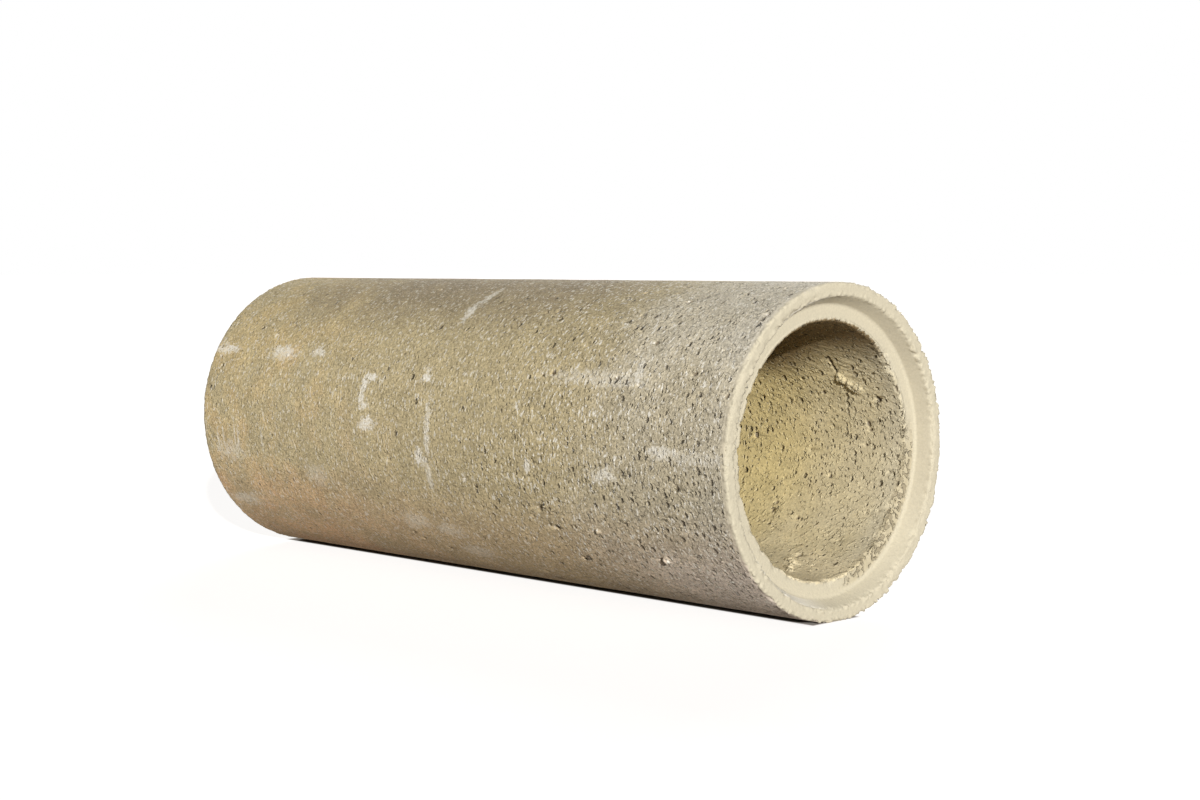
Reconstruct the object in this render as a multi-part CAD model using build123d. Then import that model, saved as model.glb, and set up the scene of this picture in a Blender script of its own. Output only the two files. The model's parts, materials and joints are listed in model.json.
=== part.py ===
# Unreinforced concrete sewer pipe, cast in one piece, lying on its side.
#
# The joint is formed inside the wall, so the barrel is one plain cylinder from end to end:
# the socket end has a flared groove inside a thin lip, and the spigot end has a tapered tongue
# that fits the groove of the next pipe with a gap for mortar.
#
# Millimetres. X runs along the pipe with the socket end at +X, Z is up, and the origin is on the
# floor under the middle of the pipe.

from build123d import *
import os

# Barrel
BORE_DIAMETER = 300.0  # nominal size of the pipe
WALL = 45.0
LAYING_LENGTH = 1000.0  # socket face to spigot shoulder

# Socket groove
JOINT_DEPTH = 20.0  # socket face to groove seat
LIP_THICKNESS = 15.0  # lip at the socket face, measured across the wall
SEAT_WIDTH = 20.0  # flat ring at the bottom of the groove, from the bore outwards

# Spigot tongue, which follows the taper of the groove
MORTAR_GAP = 4.0  # between tongue and groove, measured across the wall
NOSE_GAP = 3.0  # between the nose of the tongue and the groove seat

# Edges as they leave the mould
ARRIS_RADIUS = 2.5  # outside edges of the barrel, lip and tongue
BORE_CHAMFER = 2.5  # both edges of the bore
ROOT_RADIUS = 4.0  # the two inside corners, under the lip and behind the tongue

BORE_RADIUS = BORE_DIAMETER / 2
OUTER_RADIUS = BORE_RADIUS + WALL
LIP_RADIUS = OUTER_RADIUS - LIP_THICKNESS
SEAT_RADIUS = BORE_RADIUS + SEAT_WIDTH
GROOVE_TAPER = (LIP_RADIUS - SEAT_RADIUS) / JOINT_DEPTH

SPIGOT_LENGTH = JOINT_DEPTH - NOSE_GAP
SPIGOT_ROOT_RADIUS = LIP_RADIUS - MORTAR_GAP
SPIGOT_NOSE_RADIUS = SPIGOT_ROOT_RADIUS - GROOVE_TAPER * SPIGOT_LENGTH

SOCKET_FACE_X = (LAYING_LENGTH + SPIGOT_LENGTH) / 2
SEAT_X = SOCKET_FACE_X - JOINT_DEPTH
SHOULDER_X = SOCKET_FACE_X - LAYING_LENGTH
NOSE_X = SHOULDER_X - SPIGOT_LENGTH

AXIS_HEIGHT = OUTER_RADIUS  # the barrel rests on the floor
PIPE_AXIS = Axis((0, 0, AXIS_HEIGHT), (1, 0, 0))

# The corners of the wall's section, in order round it: place along the pipe, radius, edge finish, its size
WALL_CORNERS = [
    (SOCKET_FACE_X, OUTER_RADIUS, fillet, ARRIS_RADIUS),
    (SOCKET_FACE_X, LIP_RADIUS, fillet, ARRIS_RADIUS),
    (SEAT_X, SEAT_RADIUS, fillet, ROOT_RADIUS),
    (SEAT_X, BORE_RADIUS, chamfer, BORE_CHAMFER),
    (NOSE_X, BORE_RADIUS, chamfer, BORE_CHAMFER),
    (NOSE_X, SPIGOT_NOSE_RADIUS, fillet, ARRIS_RADIUS),
    (SHOULDER_X, SPIGOT_ROOT_RADIUS, fillet, ROOT_RADIUS),
    (SHOULDER_X, OUTER_RADIUS, fillet, ARRIS_RADIUS),
]


def wall_section():
    """The wall cut lengthwise above the axis: barrel, lip, groove, bore, tongue and shoulder."""
    with BuildSketch(Plane.XZ) as section:
        with BuildLine():
            Polyline(*[(x, AXIS_HEIGHT + radius) for x, radius, _, _ in WALL_CORNERS], close=True)
        make_face()
        for x, radius, finish, size in WALL_CORNERS:
            corner = section.vertices().sort_by_distance((x, AXIS_HEIGHT + radius))[0]
            finish(corner, size)
    return section.sketch


def concrete_pipe():
    """The whole pipe: its wall section turned once round the axis."""
    return revolve(wall_section(), PIPE_AXIS)


os.makedirs("parts", exist_ok=True)
export_step(concrete_pipe(), "parts/concrete_pipe.step")
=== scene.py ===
import json
import math
from collections import namedtuple

import bpy
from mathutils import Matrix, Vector


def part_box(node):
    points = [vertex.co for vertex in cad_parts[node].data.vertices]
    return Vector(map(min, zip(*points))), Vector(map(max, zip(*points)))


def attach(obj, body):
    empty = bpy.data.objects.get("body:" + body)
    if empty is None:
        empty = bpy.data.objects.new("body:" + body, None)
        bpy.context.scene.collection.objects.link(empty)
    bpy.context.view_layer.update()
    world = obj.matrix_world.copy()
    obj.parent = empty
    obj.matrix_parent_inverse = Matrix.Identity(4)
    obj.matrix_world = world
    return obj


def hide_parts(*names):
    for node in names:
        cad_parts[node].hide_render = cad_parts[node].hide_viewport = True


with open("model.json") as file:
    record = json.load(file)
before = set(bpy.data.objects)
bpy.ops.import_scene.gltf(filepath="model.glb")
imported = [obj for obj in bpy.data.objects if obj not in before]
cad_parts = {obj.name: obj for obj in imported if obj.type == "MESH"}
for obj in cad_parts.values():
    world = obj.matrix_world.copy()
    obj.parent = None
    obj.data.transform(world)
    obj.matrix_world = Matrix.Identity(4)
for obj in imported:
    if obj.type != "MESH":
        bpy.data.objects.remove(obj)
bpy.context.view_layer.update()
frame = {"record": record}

# The pipe: one piece of lean, sandy concrete, rammed upright between a steel core and a steel jacket.
# A ring at the foot of the mould forms the socket groove, and a pressed ring on top forms the spigot.
# The mix leaves air voids on both walls, and the edges crumble a little when the mould is stripped.
PIPE_NODE = "concrete_pipe"
low_corner, high_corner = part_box(PIPE_NODE)
mount_sizes = {mount["name"]: mount["dims"] for mount in frame["record"]["mounts"]}
MM = 0.001  # one millimetre, in metres

OUTER_RADIUS = (high_corner.z - low_corner.z) / 2
AXIS_HEIGHT = low_corner.z + OUTER_RADIUS
BORE_RADIUS = mount_sizes["bore"]["r_mm"] * MM
LIP_RADIUS = mount_sizes["socket"]["r_mm"] * MM
JOINT_DEPTH = mount_sizes["socket"]["length_mm"] * MM
SEAT_WIDTH = 20 * MM  # flat ring at the bottom of the groove, from the bore outwards
SEAT_RADIUS = BORE_RADIUS + SEAT_WIDTH
SPIGOT_ROOT_RADIUS = mount_sizes["spigot"]["r_mm"] * MM
SPIGOT_LENGTH = mount_sizes["spigot"]["length_mm"] * MM
GROOVE_TAPER = (LIP_RADIUS - SEAT_RADIUS) / JOINT_DEPTH
SPIGOT_NOSE_RADIUS = SPIGOT_ROOT_RADIUS - GROOVE_TAPER * SPIGOT_LENGTH
ARRIS = 2.5 * MM  # rounding of the outside edges
ROOT = 4.0 * MM  # rounding of the two inside corners
ROUNDING_STEPS = 5

SOCKET_FACE = high_corner.x
SEAT = SOCKET_FACE - JOINT_DEPTH
NOSE = low_corner.x
SHOULDER = NOSE + SPIGOT_LENGTH

# Corners of the wall's section: place along the pipe, radius, rounding
WALL_CORNERS = [
    (SHOULDER, OUTER_RADIUS, ARRIS),
    (SHOULDER, SPIGOT_ROOT_RADIUS, ROOT),
    (NOSE, SPIGOT_NOSE_RADIUS, ARRIS),
    (NOSE, BORE_RADIUS, ARRIS),
    (SEAT, BORE_RADIUS, ARRIS),
    (SEAT, SEAT_RADIUS, ROOT),
    (SOCKET_FACE, LIP_RADIUS, ARRIS),
    (SOCKET_FACE, OUTER_RADIUS, ARRIS),
]

# Marks on the casting. Along the pipe they are in millimetres from its middle, and round it in degrees
# upwards from the side that faces -Y, so that 180 is the far side.
OUTER_VOIDS = [  # along, round, radius in millimetres
    (440, 29, 3.6),
    (497, 22, 3.2),
    (471, 74, 3.4),
    (495, 55, 3.0),
    (142, -23.5, 2.8),
    (-396, 23.7, 2.8),
    (-411, 25.3, 2.4),
    (-338, 42, 2.6),
]
PEBBLES = [  # along, round, radius in millimetres
    (382, -38.5, 5.2),
    (287, -29.6, 3.6),
    (208, -21.3, 3.0),
]
EDGE_CHIPS = [  # round the bore's edge at the socket, reach and depth in millimetres
    (136, 11, 3.0),
    (143, 9, 3.5),
    (177, 9, 2.0),
    (184, 8, 2.0),
    (203, 10, 3.5),
    (209, 12, 4.5),
    (226, 11, 3.5),
    (238, 8, 2.5),
    (268, 9, 2.5),
    (281, 6, 2.0),
    (295, 7, 2.4),
    (306, 9, 2.5),
    (317, 6, 2.2),
    (328, 7, 2.4),
    (346, 8, 2.5),
    (4, 7, 2.4),
    (15, 6, 2.2),
    (27, 7, 2.6),
    (40, 6, 2.0),
]
BURRS = [  # mortar ridges and a scratch in the bore: along and round at start and end, half width, height
    (404, 149, 430, 156, 5.8, 4.6),
    (401, 137, 403, 146, 2.4, -2.0),
    (389, 250, 410, 254, 5.0, 2.6),
    (404, 257, 420, 262, 4.5, 2.2),
]
BORE_VOIDS = [  # along, round, radius in millimetres
    (454, 160, 4.2),
    (396, 245, 4.0),
    (437, 175, 2.2),
    (430, 182, 2.2),
    (372, 158, 3.2),
    (352, 221, 3.0),
    (309, 214, 2.8),
]

# How a mark's listed size becomes a dent or a lump: reach and height in parts of that size
VOID_REACH = 1.3
PEBBLE_REACH = 1.2
PEBBLE_HEIGHT = 0.9
HOLLOW_OFFSET = 1.5  # along the pipe, from a pebble to the hollow beside it
HOLLOW_DROP = 0.5  # degrees by which that hollow lies lower
HOLLOW_DEPTH = 0.8
BURR_REACH = 1.3
BURR_HEIGHT = 0.6  # of each step along a ridge, because the steps overlap
BORE_DEGREE = math.radians(1) * BORE_RADIUS / MM  # millimetres round the bore in one degree
MARK_CORE = 0.25  # a mark has its full height up to here, in parts of its reach
MARK_RAGGEDNESS = 2.4  # the range over which noise moves a mark's edge, in parts of its reach
# Dirt and painted shade in each kind of dent
VOID_DIRT_AND_SHADE = 1.0
CHIP_DIRT_AND_SHADE = 0.3
SCRATCH_DIRT_AND_SHADE = 0.8

# The large air voids, which are scattered over both walls
VOID_SPACING = 18 * MM
VOID_DEPTH = 0.9  # in parts of a round dish
VOID_STRETCH = (1.0, 0.75, 1.0)  # makes them longer round the pipe than along it
SMALLEST_VOID = 0.45  # in parts of the largest
SIZE_POWER = 4.0  # a higher power leaves fewer voids near the largest size
UNEVENNESS = 4 * MM  # how far the outlines of voids and pits stray


def add_node(tree, kind, inputs=None, **settings):
    """One node of a tree. Each input is a socket to join or a value to set, by its name or number."""
    node = tree.nodes.new(kind)
    for name, value in settings.items():
        setattr(node, name, value)
    for name, value in (inputs or {}).items():
        if isinstance(value, bpy.types.NodeSocket):
            tree.links.new(value, node.inputs[name])
        else:
            node.inputs[name].default_value = value
    return node


def calc(tree, operation, *terms):
    """A number worked out from one, two or three others."""
    return add_node(tree, "ShaderNodeMath", dict(enumerate(terms)), operation=operation).outputs[0]


def product(tree, first, *others):
    """Numbers multiplied together, such as masks that all have to hold."""
    result = first
    for other in others:
        result = calc(tree, "MULTIPLY", result, other)
    return result


def vector_calc(tree, operation, *terms):
    """A vector worked out from one or two others."""
    return add_node(tree, "ShaderNodeVectorMath", dict(enumerate(terms)), operation=operation).outputs[0]


def scaled_vector(tree, vector, scale):
    """A vector made longer or shorter."""
    inputs = {0: vector, "Scale": scale}
    return add_node(tree, "ShaderNodeVectorMath", inputs, operation="SCALE").outputs[0]


def distance(tree, start, end):
    """The distance between two places."""
    return add_node(tree, "ShaderNodeVectorMath", {0: start, 1: end}, operation="DISTANCE").outputs["Value"]


def fade(tree, value, start, end, least=0.0, most=1.0):
    """A number that goes smoothly from least to most as value goes from start to end."""
    inputs = {"Value": value, "From Min": start, "From Max": end, "To Min": least, "To Max": most}
    return add_node(tree, "ShaderNodeMapRange", inputs, interpolation_type="SMOOTHSTEP").outputs[0]


def between(tree, mask, off, on):
    """A number that goes smoothly from off to on as a mask goes from 0 to 1."""
    return fade(tree, mask, 0.0, 1.0, off, on)


def noise(tree, place, scale, detail=2.0, roughness=0.5):
    """Smooth noise from 0 to 1, with scale waves to a metre."""
    inputs = {"Vector": place, "Scale": scale, "Detail": detail, "Roughness": roughness}
    return add_node(tree, "ShaderNodeTexNoise", inputs).outputs[0]


PipePlace = namedtuple("PipePlace", "centred along across up radius")


def pipe_place(tree, position):
    """The position measured from the pipe's axis: as a vector, along, across and up, and its radius."""
    centred = vector_calc(tree, "SUBTRACT", position, (0, 0, AXIS_HEIGHT))
    along, across, up = add_node(tree, "ShaderNodeSeparateXYZ", {0: centred}).outputs
    squares = calc(tree, "MULTIPLY_ADD", up, up, calc(tree, "MULTIPLY", across, across))
    return PipePlace(centred, along, across, up, calc(tree, "SQRT", squares))


def unrolled(tree, at):
    """The place on a wall rolled out flat: along the pipe, and round it from the top, so it joins below."""
    turn = calc(tree, "ARCTAN2", at.across, at.up)
    way_round = calc(tree, "MULTIPLY", turn, at.radius)
    return add_node(tree, "ShaderNodeCombineXYZ", {0: at.along, 1: way_round}).outputs[0]


def warped(tree, place, reach):
    """The place pushed about by noise, so that what is drawn there gets uneven outlines."""
    inputs = {"Vector": place, "Scale": 280.0, "Detail": 2.0}
    push = add_node(tree, "ShaderNodeTexNoise", inputs).outputs["Color"]
    offset = vector_calc(tree, "SUBTRACT", push, (0.5, 0.5, 0.5))
    return vector_calc(tree, "ADD", place, scaled_vector(tree, offset, reach))


def uneven_wall(tree, at, stretch):
    """The rolled out wall, pushed about and stretched, for voids that aren't quite round."""
    return vector_calc(tree, "MULTIPLY", warped(tree, unrolled(tree, at), UNEVENNESS), stretch)


def air_voids(tree, place, spacing, radius, share):
    """Depth of the air voids on a rolled out wall, in a share of its cells of this spacing."""
    cell_inputs = {"Vector": place, "Scale": 1.0 / spacing}
    cells = add_node(tree, "ShaderNodeTexVoronoi", cell_inputs, voronoi_dimensions="2D")
    chances = add_node(tree, "ShaderNodeSeparateXYZ", {0: cells.outputs["Color"]}).outputs
    present = calc(tree, "LESS_THAN", chances[0], share)
    growth = calc(tree, "POWER", chances[1], SIZE_POWER)
    size = calc(tree, "MULTIPLY_ADD", growth, 1.0 - SMALLEST_VOID, SMALLEST_VOID)
    void_radius = calc(tree, "MULTIPLY", size, radius)
    gap = calc(tree, "MULTIPLY", cells.outputs["Distance"], spacing)
    across = calc(tree, "MINIMUM", calc(tree, "DIVIDE", gap, void_radius), 1.0)
    dish = calc(tree, "SUBTRACT", 1.0, calc(tree, "MULTIPLY", across, across))
    return product(tree, dish, void_radius, present)


def on_barrel(tree, at):
    """1 on the outside of the pipe, 0 further in."""
    return fade(tree, at.radius, OUTER_RADIUS - 6 * MM, OUTER_RADIUS - 3 * MM)


def on_walls(tree, at):
    """1 on the barrel and in the bore, 0 on the two ends."""
    past_shoulder = fade(tree, at.along, SHOULDER, SHOULDER + 6 * MM)
    before_face = fade(tree, at.along, SOCKET_FACE - 4 * MM, SOCKET_FACE - 10 * MM)
    in_bore = fade(tree, at.radius, BORE_RADIUS + 4 * MM, BORE_RADIUS + 2 * MM)
    return product(tree, past_shoulder, before_face, calc(tree, "MAXIMUM", on_barrel(tree, at), in_bore))


def wall_profile():
    """The corners of the wall's section as a closed loop: radius on X, place along the pipe on -Y."""
    mesh = bpy.data.meshes.new("wall_profile")
    points = [(radius - BORE_RADIUS, -along, 0) for along, radius, _ in WALL_CORNERS]
    count = len(points)
    mesh.from_pydata(points, [(i, (i + 1) % count) for i in range(count)], [])
    rounding = mesh.attributes.new("rounding", "FLOAT", "POINT")
    rounding.data.foreach_set("value", [corner[2] for corner in WALL_CORNERS])
    return mesh


def spot(along, degrees, radius):
    """A place on the pipe, from millimetres along it and degrees round it."""
    turn = math.radians(degrees)
    return Vector((along * MM, -radius * math.cos(turn), AXIS_HEIGHT + radius * math.sin(turn)))


def void_marks(voids, wall_radius):
    """The listed air voids of one wall: centre, reach, height, and dirt with painted shade, of each."""
    return [(spot(along, degrees, wall_radius), radius * VOID_REACH, -radius, VOID_DIRT_AND_SHADE)
            for along, degrees, radius in voids]


def pebble_marks():
    """Each pebble that stands out of the barrel, and the hollow beside it."""
    marks = []
    for along, degrees, radius in PEBBLES:
        pebble = spot(along, degrees, OUTER_RADIUS)
        hollow = spot(along - HOLLOW_OFFSET * radius, degrees - HOLLOW_DROP, OUTER_RADIUS)
        marks.append((pebble, radius * PEBBLE_REACH, radius * PEBBLE_HEIGHT, 0.0))
        marks.append((hollow, radius, -radius * HOLLOW_DEPTH, VOID_DIRT_AND_SHADE))
    return marks


def chip_marks():
    """The chips out of the bore's edge at the socket."""
    return [(spot(SEAT / MM, degrees, BORE_RADIUS), reach, -depth, CHIP_DIRT_AND_SHADE)
            for degrees, reach, depth in EDGE_CHIPS]


def burr_marks():
    """The mortar ridges and the scratch in the bore, each as a row of overlapping steps."""
    marks = []
    for along, degrees, along_end, degrees_end, half_width, height in BURRS:
        run = along_end - along
        turn = degrees_end - degrees
        steps = 1 + round(math.hypot(run, turn * BORE_DEGREE) / half_width)
        dirt_and_shade = 0.0 if height > 0 else SCRATCH_DIRT_AND_SHADE
        for step in range(steps + 1):
            part = step / steps
            centre = spot(along + part * run, degrees + part * turn, BORE_RADIUS)
            marks.append((centre, half_width * BURR_REACH, height * BURR_HEIGHT, dirt_and_shade))
    return marks


def bowl(tree, position, centre, reach, ragged):
    """1 at the centre of a dent or lump, falling to 0 at its ragged edge."""
    gap = calc(tree, "DIVIDE", distance(tree, position, centre), reach)
    return fade(tree, calc(tree, "ADD", gap, ragged), 1.0, MARK_CORE)


def placed_marks(tree, position, ragged):
    """Height of the marks that have their own places, and the dirt and painted shade in their hollows."""
    outer_marks = void_marks(OUTER_VOIDS, OUTER_RADIUS) + pebble_marks()
    bore_marks = chip_marks() + void_marks(BORE_VOIDS, BORE_RADIUS) + burr_marks()
    surface = 0.0
    dirt_and_shade = 0.0
    for centre, reach, height, dirt_and_shade_amount in outer_marks + bore_marks:
        shape = bowl(tree, position, centre, reach * MM, ragged)
        surface = calc(tree, "MULTIPLY_ADD", shape, height * MM, surface)
        dirt_and_shade = calc(tree, "MULTIPLY_ADD", shape, dirt_and_shade_amount, dirt_and_shade)
    return surface, dirt_and_shade


PIPE_INPUTS = {
    "Mesh Step": (1.7 * MM),
    "Steps Round": 720,
    "Waviness": 1.2 * MM,
    "Void Radius": 4.2 * MM,
    "Edge Wear": 2.4 * MM,
}


def new_pipe_tree():
    """An empty geometry tree with the pipe's named inputs."""
    tree = bpy.data.node_groups.new("rammed_pipe", "GeometryNodeTree")
    tree.interface.new_socket("Geometry", in_out="INPUT", socket_type="NodeSocketGeometry")
    for label, value in PIPE_INPUTS.items():
        kind = "NodeSocketInt" if isinstance(value, int) else "NodeSocketFloat"
        tree.interface.new_socket(label, in_out="INPUT", socket_type=kind)
    tree.interface.new_socket("Geometry", in_out="OUTPUT", socket_type="NodeSocketGeometry")
    return tree


def turned_wall(tree, given):
    """The wall's section with its corners rounded, turned once round the pipe's axis."""
    rounding = add_node(tree, "GeometryNodeInputNamedAttribute", {"Name": "rounding"}, data_type="FLOAT")
    loop = add_node(tree, "GeometryNodeMeshToCurve", {"Mesh": given["Geometry"]})
    fillet_inputs = {"Curve": loop.outputs[0], "Count": ROUNDING_STEPS, "Radius": rounding.outputs[0]}
    rounded = add_node(tree, "GeometryNodeFilletCurve", fillet_inputs, mode="POLY")
    step_inputs = {"Curve": rounded.outputs[0], "Length": given["Mesh Step"]}
    section = add_node(tree, "GeometryNodeResampleCurve", step_inputs, mode="LENGTH")
    circle_inputs = {"Resolution": given["Steps Round"], "Radius": BORE_RADIUS}
    circle = add_node(tree, "GeometryNodeCurvePrimitiveCircle", circle_inputs)
    sweep_inputs = {"Curve": circle.outputs[0], "Profile Curve": section.outputs[0]}
    sweep = add_node(tree, "GeometryNodeCurveToMesh", sweep_inputs)
    lay_inputs = {
        "Geometry": sweep.outputs[0],
        "Translation": (0, 0, AXIS_HEIGHT),
        "Rotation": (0, math.pi / 2, 0),
    }
    return add_node(tree, "GeometryNodeTransform", lay_inputs).outputs[0]


WEAR_REACH = 6 * MM  # wear starts this near to an edge
FULL_WEAR = 1.5 * MM  # and is full this near to it
BORE_EDGE_WEAR = 0.5  # the bore's edges wear less than the others


def edge_wear(tree, position, at):
    """How far the concrete has crumbled back along its outside edges, in parts of the edge wear."""
    near = 0.0
    for corner_along, corner_radius, rounding in WALL_CORNERS:
        if rounding == ARRIS:
            off_along = calc(tree, "SUBTRACT", at.along, corner_along)
            off_radius = calc(tree, "SUBTRACT", at.radius, corner_radius)
            squares = calc(tree, "MULTIPLY", off_radius, off_radius)
            gap = calc(tree, "SQRT", calc(tree, "MULTIPLY_ADD", off_along, off_along, squares))
            share = BORE_EDGE_WEAR if corner_radius == BORE_RADIUS else 1.0
            near = calc(tree, "MAXIMUM", near, fade(tree, gap, WEAR_REACH, FULL_WEAR, 0.0, share))
    crumbs = fade(tree, noise(tree, position, 170.0, 3.0, 0.7), 0.35, 0.65, -0.7, 0.8)
    stretches = fade(tree, noise(tree, position, 22.0, 2.0), 0.38, 0.62, 0.35, 1.1)
    chips = fade(tree, noise(tree, position, 38.0, 3.0), 0.56, 0.75)
    socket_end = fade(tree, at.along, -0.2, 0.2, 0.35, 1.0)
    worn = calc(tree, "ADD", chips, calc(tree, "MULTIPLY", crumbs, stretches))
    return product(tree, worn, near, socket_end)


def pipe_tree(material):
    """Turns the wall's section into the pipe and gives its surface the relief of rammed concrete."""
    tree = new_pipe_tree()
    given = add_node(tree, "NodeGroupInput").outputs
    wall = turned_wall(tree, given)
    position = add_node(tree, "GeometryNodeInputPosition").outputs[0]
    normal = add_node(tree, "GeometryNodeInputNormal").outputs[0]
    at = pipe_place(tree, position)

    wave = calc(tree, "SUBTRACT", noise(tree, position, 9.0, 2.0), 0.5)
    height = calc(tree, "MULTIPLY", wave, given["Waviness"])
    share = product(tree, fade(tree, at.along, -0.3, 0.45, 0.02, 0.13), on_walls(tree, at))
    void_places = uneven_wall(tree, at, VOID_STRETCH)
    voids = air_voids(tree, void_places, VOID_SPACING, given["Void Radius"], share)
    height = calc(tree, "MULTIPLY_ADD", voids, -VOID_DEPTH, height)
    wear = edge_wear(tree, position, at)
    height = calc(tree, "SUBTRACT", height, calc(tree, "MULTIPLY", wear, given["Edge Wear"]))
    mark_noise = noise(tree, position, 190.0, 4.0, 0.7)
    ragged = calc(tree, "MULTIPLY_ADD", mark_noise, MARK_RAGGEDNESS, -MARK_RAGGEDNESS / 2)
    marks, dirt_and_shade = placed_marks(tree, position, ragged)
    height = calc(tree, "ADD", height, marks)

    # Dirt and painted shade in the voids' hollows, kept on the mesh for the material
    void_dirt_and_shade = fade(tree, voids, 0.5 * MM, 3 * MM)
    keep_inputs = {"Geometry": wall, "Name": "dirt_and_shade", "Value": calc(tree, "MAXIMUM", dirt_and_shade, void_dirt_and_shade)}
    kept = add_node(tree, "GeometryNodeStoreNamedAttribute", keep_inputs, data_type="FLOAT", domain="POINT")
    shape_inputs = {"Geometry": kept.outputs[0], "Offset": scaled_vector(tree, normal, height)}
    shaped = add_node(tree, "GeometryNodeSetPosition", shape_inputs)
    smooth = add_node(tree, "GeometryNodeSetShadeSmooth", {"Geometry": shaped.outputs[0]})
    real = add_node(tree, "GeometryNodeRealizeInstances", {"Geometry": smooth.outputs[0]})
    dressed = add_node(tree, "GeometryNodeSetMaterial", {"Geometry": real.outputs[0], "Material": material})
    add_node(tree, "NodeGroupOutput", {"Geometry": dressed.outputs[0]})
    return tree


def paint(red, green, blue):
    """A colour as it looks on a screen, from 0 to 255, turned into the numbers that light works with."""
    parts = [part / 255 for part in (red, green, blue)]
    return [part / 12.92 if part < 0.04 else ((part + 0.055) / 1.055) ** 2.4 for part in parts] + [1.0]


TAN = paint(175, 160, 124)
OCHRE = paint(185, 165, 121)
ROSE = paint(196, 168, 130)
ASH = paint(183, 174, 154)
SOOT = paint(146, 132, 105)
CREAM = paint(190, 181, 158)
BORE_DEEP = paint(197, 179, 128)
BORE_RIM = paint(197, 184, 151)
SAND = paint(219, 204, 168)
# painted shade for the crown of the bore
PAINTED_CROWN_SHADE = paint(112, 92, 60)
CHALK = paint(228, 222, 208)
# dark brown for dirt and painted shade in hollows
DIRT_AND_SHADE = paint(88, 74, 56)
GROOVE_SHADE = (0.88, 0.87, 0.86, 1.0)  # painted shade on the side of the groove that faces the light
PAINTED_BOUNCE_TINT = (1.08, 1.0, 1.02, 1.0)  # painted warm bounce light, which turns the shaded underside a little redder
MATT = 0.92  # roughness of the dry concrete
DULL = 0.25  # its specular level

# Smears of lime and mortar on the barrel: millimetres along from its middle, millimetres round it upwards
# from the side that faces -Y, half length along, half length round, tilt in degrees, cover
SMEARS = [
    (2, 180, 9, 18, -9, 0.9),
    (8, 212, 6, 26, -12, 0.7),
    (-121, 71, 10, 6, 20, 1.0),
    (-131, 57, 6, 14, 10, 1.0),
    (-132, 43, 6, 10, -10, 0.9),
    (-126, 32, 9, 5, -10, 1.0),
    (-117, 8, 15, 9, 10, 1.0),
    (-10, 76, 9, 9, 0, 1.0),
    (6, 8, 5, 36, 5, 0.7),
    (-11, -28, 11, 10, 0, 1.0),
    (2, -48, 6, 22, -32, 0.6),
    (-465, 100, 26, 8, 0, 0.9),
    (-331, 98, 30, 10, 8, 0.9),
    (-248, 101, 16, 6, 0, 0.9),
    (-445, -34, 2.2, 26, 0, 0.6),
    (-458, -34, 2.2, 26, 0, 0.6),
    (-409, -28, 2.2, 26, 0, 0.6),
    (-417, -28, 2.2, 26, 0, 0.6),
    (-352, -30, 2.0, 22, 0, 0.6),
    (-430, -48, 30, 16, 0, 0.4),
    (290, 87, 75, 10, 0, 0.5),
    (356, 98, 6, 22, 5, 0.8),
    (412, 6, 22, 8, 0, 0.8),
    (455, 3, 46, 7, 2, 0.45),
    (319, -26, 20, 9, 0, 0.9),
    (191, -23, 6, 8, 0, 0.9),
    (24, -174, 30, 14, 0, 0.4),
    (-64, -124, 30, 14, 20, 0.4),
    (-1, -133, 24, 12, -10, 0.4),
    (-240, -70, 24, 16, 0, 0.3),
    (-440, -128, 40, 10, -8, 0.5),
    (330, 330, 40, 12, 0, 0.6),
    (40, 470, 10, 60, 8, 0.7),
    (-300, 400, 26, 18, -15, 0.7),
    (150, -400, 18, 40, 10, 0.6),
]
SMEAR_EDGE = 1.15  # a smear ends here, in parts of its half length
SMEAR_FULL = 0.45  # and covers in full up to here
SMEAR_RAGGEDNESS = 5.0  # the range over which noise moves its edge
SMEAR_GROWTH = 2.6  # half of that range and a little more, so that it spreads slightly

# The small pits: spacing and radius in millimetres, share of cells, shift along and round in metres, so
# that the two patterns don't fall on each other
PITS = [
    (5, 2.4, 0.25, (0.0, 0.0, 0.0)),
    (9, 4.2, 0.55, (0.137, 0.053, 0.0)),
]
PIT_STRETCH = (1.0, 0.85, 1.0)

# Heights of the fine relief, in millimetres, and the slant and shape of the streaks in the bore
PIT_DEPTH = 1.2  # for each millimetre of a pit's dish
CRUMB_DEPTH = 1.8
STREAK_HEIGHT = 1.6
STREAK_TILT = math.radians(20)
STREAK_SIZE = (4, 1, 1)  # four times as long as wide

# Borders between colours, in metres, and how far a colour covers the crumbled part of the seat
CLOUD_DRIFT = 0.5  # the range over which clouds move a border along the pipe
RAGGED_ALONG = 15 * MM  # the range over which sand moves the border of an end along the pipe
RAGGED_ACROSS = 9 * MM  # and across the wall
CRUMBLY_COVER = 0.45
CRUMB_COVER = 0.4


def mixed(tree, amount, first, second, way="MIX"):
    """Two colours, mixed by amount."""
    inputs = {"Factor": amount, 6: first, 7: second}
    return add_node(tree, "ShaderNodeMix", inputs, data_type="RGBA", blend_type=way).outputs[2]


def spots(tree, place, scale, edge, width):
    """1 in small spots with uneven outlines, 0 on the ground between them; a higher edge gives more."""
    level = noise(tree, place, scale, 2.0, 0.5)
    return fade(tree, calc(tree, "SUBTRACT", level, edge), 0.0, -width)


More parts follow.
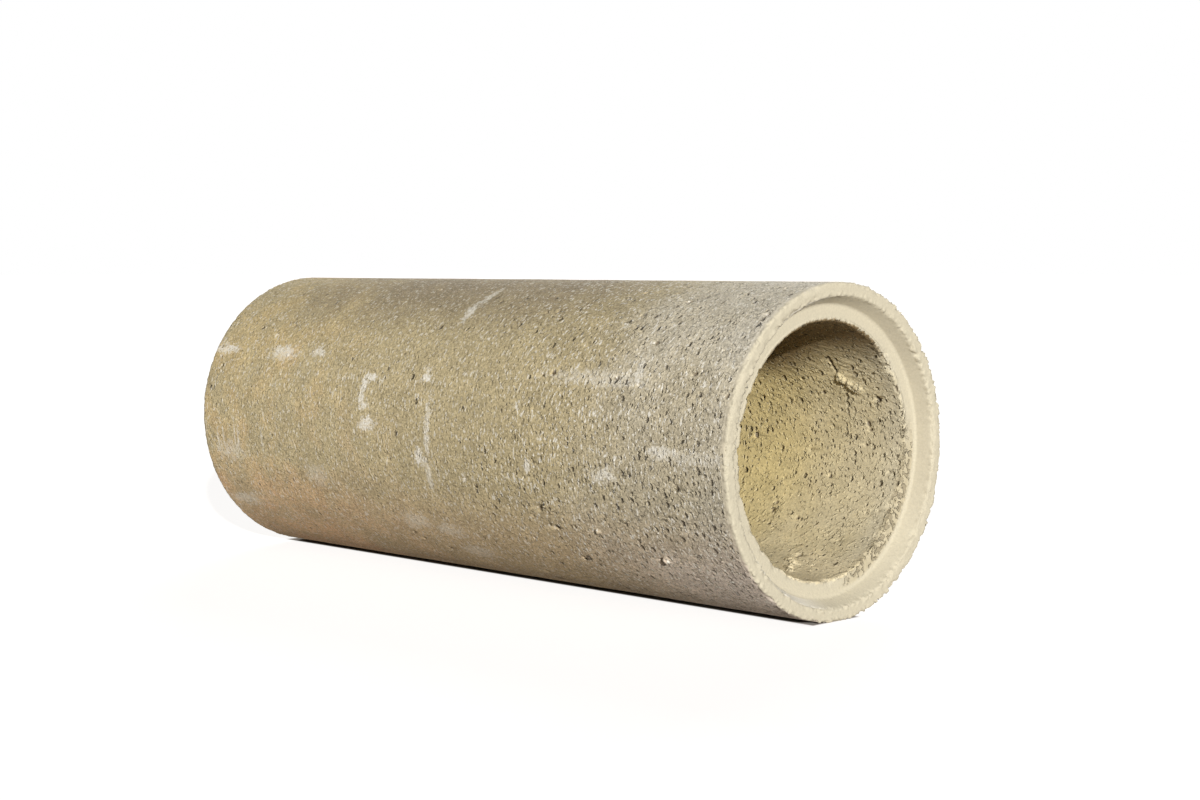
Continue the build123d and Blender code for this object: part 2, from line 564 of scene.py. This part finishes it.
# In the colours and the relief, places are in metres: along from the pipe's middle towards the socket,
# across from its axis towards the far side, and up from its axis.
def barrel_colour(tree, at, clouds, patches, cloudy_along):
    """Sandy, greyer towards the socket, with ochre and rose clouds, a dark top, a pale foot and painted warm
    bounce light on the underside.
    """
    colour = mixed(tree, fade(tree, cloudy_along, 0.44, 0.85), TAN, ASH)
    ochre = product(tree, fade(tree, cloudy_along, 0.2, -0.2), fade(tree, patches, 0.42, 0.62))
    colour = mixed(tree, ochre, colour, OCHRE)
    low_side = calc(tree, "MULTIPLY_ADD", at.up, -0.9, patches)
    rose = product(tree, fade(tree, low_side, 0.45, 0.85), fade(tree, at.along, 0.1, -0.35))
    colour = mixed(tree, rose, colour, ROSE)
    stain = product(tree, fade(tree, at.up, 0.05, -0.03), fade(tree, at.along, 0.2, 0.45),
                    fade(tree, at.up, -0.15, -0.11), 0.1)
    colour = mixed(tree, stain, colour, SOOT)
    dark_top = product(tree, fade(tree, at.up, 0.11, 0.185), fade(tree, clouds, 0.3, 0.55),
                       fade(tree, at.along, -0.45, -0.25), fade(tree, at.along, 0.35, 0.15))
    colour = mixed(tree, dark_top, colour, SOOT)
    pale_foot = product(tree, fade(tree, at.up, -0.09, -0.15), fade(tree, at.along, 0.28, 0.4), 0.4)
    colour = mixed(tree, pale_foot, colour, CHALK)
    bleached = product(tree, fade(tree, at.up, 0.04, 0.15), fade(tree, cloudy_along, 0.42, 0.85), 0.3)
    colour = mixed(tree, bleached, colour, CHALK)
    # Painted warm bounce light on the shaded underside.
    return mixed(tree, fade(tree, at.up, -0.04, -0.14), colour, PAINTED_BOUNCE_TINT, "MULTIPLY")


def bore_colour(tree, at, cloudy_along):
    """Yellower than the barrel deep inside, paler towards the socket, with painted shade along the crown."""
    colour = mixed(tree, fade(tree, cloudy_along, 0.45, 0.75), BORE_DEEP, BORE_RIM)
    colour = mixed(tree, fade(tree, at.along, SEAT - 50 * MM, SEAT, 0.0, 0.6), colour, CREAM)
    foot = product(tree, fade(tree, at.up, -0.125, -0.145), fade(tree, at.along, 0.36, 0.42), 0.8)
    colour = mixed(tree, foot, colour, SAND)
    # Painted shade along the crown, reaching lower deeper inside, as the rim's shadow does.
    crown_shade_level = calc(tree, "ADD", at.up, fade(tree, at.along, 0.42, 0.3, 0.0, 0.03))
    return mixed(tree, fade(tree, crown_shade_level, 0.09, 0.132, 0.0, 0.95), colour, PAINTED_CROWN_SHADE)


def with_ends(tree, colour, at, ragged_along, ragged_radius):
    """The colour with the two ends, cleaner and paler than the walls, with painted light on the groove's
    shaded near side and painted shade on its lit side.
    """
    face = fade(tree, ragged_along, SOCKET_FACE - 4 * MM, SOCKET_FACE - 2 * MM)
    within_lip = fade(tree, at.radius, OUTER_RADIUS - 4 * MM, OUTER_RADIUS - 7 * MM)
    beyond_bore = fade(tree, ragged_radius, BORE_RADIUS + 1 * MM, BORE_RADIUS + 4 * MM)
    socket = product(tree, within_lip, beyond_bore, fade(tree, at.along, 0.0, 0.1))
    spigot = product(tree, beyond_bore, fade(tree, ragged_along, SHOULDER + 3 * MM, SHOULDER + 1 * MM))
    ends = calc(tree, "MAXIMUM", calc(tree, "MAXIMUM", face, socket), spigot)
    colour = mixed(tree, ends, colour, CREAM)

    groove = product(tree, socket, fade(tree, at.along, SEAT + 1 * MM, SEAT + 3 * MM),
                     fade(tree, at.radius, LIP_RADIUS, LIP_RADIUS - 1 * MM))
    # Painted light on the near side of the groove, which lies in shade.
    painted_light_near_side = product(tree, groove, fade(tree, at.across, 0.0, -0.06, 0.0, 0.8))
    colour = mixed(tree, painted_light_near_side, colour, CHALK)
    # Painted shade on the lower far side of the groove, which faces the light.
    painted_shade_lit_side = product(tree, groove, fade(tree, at.across, 0.06, 0.14), fade(tree, at.up, -0.12, -0.03))
    return mixed(tree, painted_shade_lit_side, colour, GROOVE_SHADE, "MULTIPLY")


def with_sand(tree, colour, place, walls, bore):
    """The colour with the mottle of the mix and its sand grains, which hardly show on the ends."""
    mottle = calc(tree, "SUBTRACT", noise(tree, place, 30.0, 6.0, 0.65), 0.5)
    tone = calc(tree, "MULTIPLY_ADD", mottle, between(tree, walls, 0.06, 0.7), 1.0)
    grain = fade(tree, noise(tree, place, 360.0, 3.0, 0.75), 0.3, 0.7, -1.0, 1.0)
    contrast = between(tree, walls, 0.06, between(tree, bore, 0.36, 0.2))
    shade = calc(tree, "MULTIPLY", tone, calc(tree, "MULTIPLY_ADD", grain, contrast, 1.0))
    shade_colour = add_node(tree, "ShaderNodeCombineColor", {0: shade, 1: shade, 2: shade}).outputs[0]
    return mixed(tree, 1.0, colour, shade_colour, "MULTIPLY")


def smears(tree, at, ragged):
    """How far lime and mortar smears cover the barrel."""
    turn = calc(tree, "ARCTAN2", at.up, calc(tree, "MULTIPLY", at.across, -1.0))
    cover = 0.0
    for smear_along, smear_round, half_along, half_round, tilt, strength in SMEARS:
        off_along = calc(tree, "SUBTRACT", at.along, smear_along * MM)
        off_round = calc(tree, "MULTIPLY_ADD", turn, OUTER_RADIUS, -smear_round * MM)
        mapping_inputs = {
            "Vector": add_node(tree, "ShaderNodeCombineXYZ", {0: off_along, 1: off_round}).outputs[0],
            "Rotation": (0, 0, math.radians(tilt)),
            "Scale": (1 / (half_along * MM), 1 / (half_round * MM), 1),
        }
        scaled = add_node(tree, "ShaderNodeMapping", mapping_inputs, vector_type="POINT").outputs[0]
        gap = calc(tree, "ADD", distance(tree, scaled, (0, 0, 0)), ragged)
        cover = calc(tree, "MAXIMUM", cover, fade(tree, gap, SMEAR_EDGE, SMEAR_FULL, 0.0, strength))
    return cover


def with_lime(tree, colour, place, at, walls):
    """The colour with the lime on the barrel: its smears, and pale threads that run round the pipe."""
    barrel = on_barrel(tree, at)
    smear_noise = noise(tree, place, 120.0, 6.0, 0.8)
    ragged = calc(tree, "MULTIPLY_ADD", smear_noise, SMEAR_RAGGEDNESS, -SMEAR_GROWTH)
    flecks = fade(tree, noise(tree, place, 300.0, 2.0, 0.6), 0.4, 0.6, 0.45, 1.0)
    colour = mixed(tree, product(tree, smears(tree, at, ragged), flecks, barrel), colour, CHALK)
    thread_places = vector_calc(tree, "MULTIPLY", at.centred, (1.0, 0.5, 0.5))
    strength = fade(tree, at.along, 0.0, 0.3, 0.6, 0.95)
    threads = fade(tree, noise(tree, thread_places, 300.0, 3.0, 0.65), 0.57, 0.63, 0.0, strength)
    return mixed(tree, product(tree, walls, barrel, threads), colour, CHALK)


def small_pits(tree, at, walls, bore):
    """Depth of the pits too small for the mesh, closer together near the socket and high in the bore."""
    barrel_share = fade(tree, at.along, 0.0, 0.4, 0.05, fade(tree, at.up, 0.1, -0.03, 0.4, 0.9))
    bore_share = fade(tree, at.up, -0.13, 0.02, 0.25, 0.85)
    share = product(tree, between(tree, bore, barrel_share, bore_share), walls)
    pit_places = uneven_wall(tree, at, PIT_STRETCH)
    depth = 0.0
    for spacing, radius, part, shift in PITS:
        moved = vector_calc(tree, "ADD", pit_places, shift)
        pits = air_voids(tree, moved, spacing * MM, radius * MM, product(tree, share, part))
        depth = calc(tree, "MAXIMUM", depth, pits)
    return depth


def with_pits(tree, colour, pits, patches):
    """The colour with the pale rim of each small pit, partly pale sand and partly a painted highlight, and
    its core darkened with dirt and painted shade.
    """
    pale_rim_and_highlight = product(tree, fade(tree, pits, 0.0, 0.3 * MM, 0.0, 0.85), fade(tree, pits, 1.1 * MM, 0.6 * MM))
    colour = mixed(tree, pale_rim_and_highlight, colour, SAND)
    core_dirt_and_shade = product(tree, fade(tree, pits, 0.8 * MM, 2.0 * MM), fade(tree, patches, 0.35, 0.65, 0.1, 0.45))
    return mixed(tree, core_dirt_and_shade, colour, DIRT_AND_SHADE)


def crumbly_seat(tree, at, ragged_radius):
    """1 where the seat has crumbled along the bore's edge, low on its far side."""
    below = fade(tree, at.up, 0.04, -0.02)
    far_side = fade(tree, at.across, 0.02, 0.06)
    by_bore = fade(tree, ragged_radius, SEAT_RADIUS - 2 * MM, SEAT_RADIUS - 8 * MM)
    by_seat = fade(tree, at.along, SEAT - 14 * MM, SEAT - 2 * MM)
    return product(tree, below, far_side, by_bore, by_seat)


def fine_relief(tree, place, at, walls, bore, pits, crumbs):
    """Relief too fine for the mesh, in millimetres: sand grains, streaks in the bore, pits and crumbs."""
    grains = calc(tree, "SUBTRACT", 1.0, spots(tree, place, 200.0, 0.68, 0.13))
    coarse = product(tree, fade(tree, at.along, -0.1, 0.35, 0.8, 1.0), between(tree, walls, 0.1, 1.0))
    relief = calc(tree, "MULTIPLY", grains, coarse)
    sand_height = between(tree, walls, 0.25, between(tree, bore, 0.9, 0.5))
    relief = calc(tree, "MULTIPLY_ADD", noise(tree, place, 330.0, 3.0, 0.6), sand_height, relief)
    streak_inputs = {"Vector": unrolled(tree, at), "Rotation": (0, 0, STREAK_TILT), "Scale": STREAK_SIZE}
    streak_places = add_node(tree, "ShaderNodeMapping", streak_inputs, vector_type="TEXTURE").outputs[0]
    upper_bore = product(tree, fade(tree, at.up, -0.04, 0.08), bore)
    streaks = calc(tree, "MULTIPLY", noise(tree, streak_places, 190.0, 2.0), upper_bore)
    relief = calc(tree, "MULTIPLY_ADD", streaks, STREAK_HEIGHT, relief)
    relief = calc(tree, "MULTIPLY_ADD", pits, -PIT_DEPTH / MM, relief)
    return calc(tree, "MULTIPLY_ADD", crumbs, -CRUMB_DEPTH, relief)


def relief_scale(tree, at, bore):
    """Metres for one millimetre of fine relief: more low on the barrel by the socket and high in the bore."""
    barrel_rough = fade(tree, at.along, -0.05, 0.3, 1.0, fade(tree, at.up, 0.06, -0.06, 1.1, 1.4))
    bore_rough = fade(tree, at.up, -0.07, 0.04, 1.0, 1.3)
    return calc(tree, "MULTIPLY", between(tree, bore, barrel_rough, bore_rough), MM)


def concrete():
    """Sandy concrete: tan to ash on the barrel, cream on the ends, yellower in the bore."""
    material = bpy.data.materials.new("concrete")
    material.use_nodes = True
    tree = material.node_tree
    place = add_node(tree, "ShaderNodeTexCoord").outputs["Object"]
    at = pipe_place(tree, place)
    walls = on_walls(tree, at)
    bore = fade(tree, at.radius, BORE_RADIUS + 6 * MM, BORE_RADIUS + 4 * MM)
    clouds = noise(tree, place, 5.0, 4.0, 0.6)
    patches = noise(tree, place, 16.0, 5.0, 0.65)
    cloudy_along = calc(tree, "MULTIPLY_ADD", clouds, CLOUD_DRIFT, at.along)
    sandy_edge = calc(tree, "SUBTRACT", noise(tree, place, 170.0, 4.0, 0.7), 0.5)
    ragged_along = calc(tree, "MULTIPLY_ADD", sandy_edge, RAGGED_ALONG, at.along)
    ragged_radius = calc(tree, "MULTIPLY_ADD", sandy_edge, RAGGED_ACROSS, at.radius)

    barrel = barrel_colour(tree, at, clouds, patches, cloudy_along)
    colour = mixed(tree, bore, barrel, bore_colour(tree, at, cloudy_along))
    colour = with_ends(tree, colour, at, ragged_along, ragged_radius)
    colour = with_sand(tree, colour, place, walls, bore)
    colour = with_lime(tree, colour, place, at, walls)
    pits = small_pits(tree, at, walls, bore)
    colour = with_pits(tree, colour, pits, patches)
    crumbly = crumbly_seat(tree, at, ragged_radius)
    crumbs = product(tree, spots(tree, place, 150.0, 0.5, 0.1), crumbly)
    colour = mixed(tree, product(tree, crumbly, CRUMBLY_COVER), colour, TAN)
    # The crumbs' hollows darkened with dirt and painted shade
    colour = mixed(tree, product(tree, crumbs, CRUMB_COVER), colour, DIRT_AND_SHADE)
    # Dents darkened with dirt and painted shade, as kept on the mesh
    dirt_and_shade = add_node(tree, "ShaderNodeAttribute", attribute_name="dirt_and_shade").outputs["Fac"]
    colour = mixed(tree, fade(tree, dirt_and_shade, 0.1, 1.0, 0.0, 0.8), colour, DIRT_AND_SHADE)

    relief = fine_relief(tree, place, at, walls, bore, pits, crumbs)
    bump_inputs = {"Strength": 1.0, "Distance": relief_scale(tree, at, bore), "Height": relief}
    bump = add_node(tree, "ShaderNodeBump", bump_inputs)
    shader = tree.nodes["Principled BSDF"]
    tree.links.new(colour, shader.inputs["Base Color"])
    tree.links.new(bump.outputs[0], shader.inputs["Normal"])
    shader.inputs["Roughness"].default_value = MATT
    shader.inputs["Specular IOR Level"].default_value = DULL
    return material


def finished_mesh(piece, triangles):
    """The piece's mesh after its modifiers, its flattest triangles joined until few enough are left."""
    full = bpy.data.meshes.new_from_object(piece.evaluated_get(bpy.context.evaluated_depsgraph_get()))
    full.calc_loop_triangles()
    thinning = piece.modifiers.new("thinning", "DECIMATE")
    thinning.ratio = min(1.0, triangles / len(full.loop_triangles))
    thinning.use_collapse_triangulate = True
    bpy.data.meshes.remove(full)
    return bpy.data.meshes.new_from_object(piece.evaluated_get(bpy.context.evaluated_depsgraph_get()))


TRIANGLES = 196000
pipe = bpy.data.objects.new("rammed_concrete_pipe", wall_profile())
bpy.context.scene.collection.objects.link(pipe)
shaping = pipe.modifiers.new("rammed_pipe", "NODES")
shaping.node_group = pipe_tree(concrete())
for item in shaping.node_group.interface.items_tree:
    if item.in_out == "INPUT" and item.name in PIPE_INPUTS:
        shaping[item.identifier] = PIPE_INPUTS[item.name]
pipe_mesh = finished_mesh(pipe, TRIANGLES)
pipe.modifiers.clear()
pipe.data = pipe_mesh
pipe_mesh.name = "rammed_concrete_pipe"
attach(pipe, "root")
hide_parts(PIPE_NODE)

# The floor: a plain pale sheet that runs to the horizon and keeps the pipe's shadow.
# The camera sees it near white, and the pipe gets only the light that a mid grey floor gives back.
FLOOR_REACH = 60.0
FLOOR_COLOUR = (0.43, 0.4, 0.37, 1)
FLOOR_GLOW = 0.78
SHADOW_STRIP = 42 * MM  # half the width of the floor that the key can't reach under the belly
STRIP_BLUR = 4 * MM  # half the width of that strip's soft sides
STRIP_END_BLUR = 6 * MM


def seen_directly(tree):
    """1 for what the camera sees itself or in a mirror or glass, 0 for light on its way to the pipe."""
    path = add_node(tree, "ShaderNodeLightPath").outputs
    seen = calc(tree, "MAXIMUM", path["Is Camera Ray"], path["Is Glossy Ray"])
    return calc(tree, "MAXIMUM", seen, path["Is Transmission Ray"])


def floor_material():
    """Pale matt floor that glows near white, except in the strip under the pipe."""
    material = bpy.data.materials.new("floor")
    material.use_nodes = True
    tree = material.node_tree
    tree.nodes.clear()
    matt = add_node(tree, "ShaderNodeBsdfDiffuse", {"Color": FLOOR_COLOUR})
    place = add_node(tree, "ShaderNodeTexCoord").outputs["Object"]
    along, across, _ = add_node(tree, "ShaderNodeSeparateXYZ", {0: place}).outputs
    aside = calc(tree, "ABSOLUTE", across)
    beside = fade(tree, aside, SHADOW_STRIP - STRIP_BLUR, SHADOW_STRIP + STRIP_BLUR)
    beyond = fade(tree, calc(tree, "ABSOLUTE", along), SOCKET_FACE - STRIP_END_BLUR, SOCKET_FACE)
    glow = calc(tree, "MULTIPLY", calc(tree, "MAXIMUM", beside, beyond), FLOOR_GLOW)
    strength = calc(tree, "MULTIPLY", glow, seen_directly(tree))
    light = add_node(tree, "ShaderNodeEmission", {"Strength": strength})
    both = add_node(tree, "ShaderNodeAddShader", {0: matt.outputs[0], 1: light.outputs[0]})
    add_node(tree, "ShaderNodeOutputMaterial", {"Surface": both.outputs[0]})
    return material


floor_mesh = bpy.data.meshes.new("floor")
floor_corners = [(-1, -1), (1, -1), (1, 1), (-1, 1)]
floor_mesh.from_pydata([(x * FLOOR_REACH, y * FLOOR_REACH, 0) for x, y in floor_corners], [], [(0, 1, 2, 3)])
floor_mesh.materials.append(floor_material())
floor = bpy.data.objects.new("floor", floor_mesh)
bpy.context.scene.collection.objects.link(floor)

# The light: a key low at the socket end, so that it rakes along the barrel, a softer lamp behind for the
# far side, and an even fill.
KEY_FROM = Vector((0.81, -0.534, 0.243))  # towards the light
KEY_STRENGTH = 4.65
KEY_SPREAD = math.radians(1.2)
BACK_FROM = Vector((-0.55, 0.75, 0.37))
BACK_STRENGTH = 2.4
BACK_SPREAD = math.radians(35)
FILL = 0.14


def add_lamp(name, towards, strength, spread):
    """A far lamp that shines from one direction; its spread softens the shadows."""
    lamp = bpy.data.lights.new(name, "SUN")
    lamp.energy = strength
    lamp.angle = spread
    holder = bpy.data.objects.new(name, lamp)
    holder.rotation_euler = towards.to_track_quat("Z", "Y").to_euler()
    bpy.context.scene.collection.objects.link(holder)


add_lamp("key", KEY_FROM, KEY_STRENGTH, KEY_SPREAD)
add_lamp("back", BACK_FROM, BACK_STRENGTH, BACK_SPREAD)

world = bpy.data.worlds.new("studio")
bpy.context.scene.world = world
world.use_nodes = True
sky = world.node_tree
sky_strength = calc(sky, "MULTIPLY_ADD", seen_directly(sky), 1.0 - FILL, FILL)
sky.links.new(sky_strength, sky.nodes["Background"].inputs["Strength"])
sky.nodes["Background"].inputs["Color"].default_value = (1, 1, 1, 1)

# The camera: level, a little above the pipe's axis and about 45 degrees off it.
CAMERA_PLACE = Vector((1.9443, -1.8008, 0.4107))
CAMERA_TURN = math.radians(45.4)
CAMERA_TILT = math.radians(-3.886)
CAMERA_LENS = 60.23  # millimetres
SENSOR_WIDTH = 36.0  # millimetres

camera_data = bpy.data.cameras.new("camera")
camera_data.lens = CAMERA_LENS
camera_data.sensor_width = SENSOR_WIDTH
camera = bpy.data.objects.new("camera", camera_data)
camera.location = CAMERA_PLACE
camera.rotation_euler = (math.pi / 2 + CAMERA_TILT, 0, CAMERA_TURN)
bpy.context.scene.collection.objects.link(camera)
bpy.context.scene.camera = camera
bpy.context.scene.view_settings.view_transform = "Standard"
